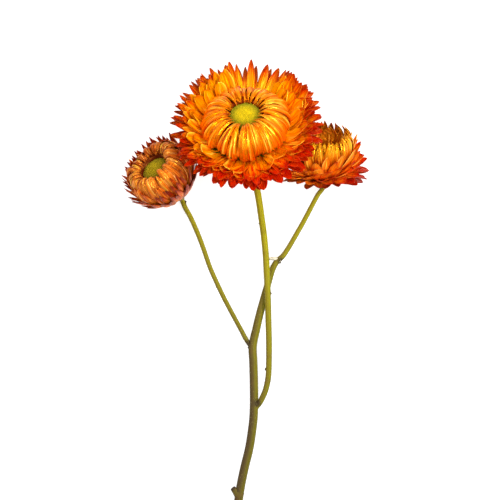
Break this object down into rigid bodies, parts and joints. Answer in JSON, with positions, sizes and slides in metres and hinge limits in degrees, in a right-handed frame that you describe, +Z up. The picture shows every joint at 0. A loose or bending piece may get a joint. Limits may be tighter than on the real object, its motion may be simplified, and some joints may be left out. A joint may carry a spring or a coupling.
{
  "type": "dried strawflower spray",
  "caption": "Cut dried strawflower spray lying on a surface: a branched stem with one open head of layered papery bracts and a half-open head on each side.",
  "frame": {"origin": "on the surface the spray lies on, under the middle of its bounding box", "axes": "+Y along the stem from its cut end towards the flower heads, +Z up from the surface, +X towards the right head"},
  "size_m": [0.0952, 0.1834, 0.0435],
  "materials": {
    "stem": "dry, finely ribbed green-brown stem",
    "main_outer_bract": "glossy papery orange turning red at the tips",
    "main_inner_bract": "glossy papery golden orange",
    "main_disc": "matt yellow florets",
    "left_outer_bract": "papery copper turning dark red at the tips",
    "left_inner_bract": "papery copper gold",
    "right_outer_bract": "papery orange brown turning dark red at the tips",
    "right_inner_bract": "papery golden orange",
    "side_disc": "matt olive yellow florets"
  },
  "bodies": {
    "root": {"stem": "stem", "main_bloom_outer_bracts": "main_outer_bract", "main_bloom_inner_bracts": "main_inner_bract", "main_bloom_disc": "main_disc", "left_bloom_outer_bracts": "left_outer_bract", "left_bloom_inner_bracts": "left_inner_bract", "left_bloom_disc": "side_disc", "right_bloom_outer_bracts": "right_outer_bract", "right_bloom_inner_bracts": "right_inner_bract", "right_bloom_disc": "side_disc"}
  },
  "joints": []
}
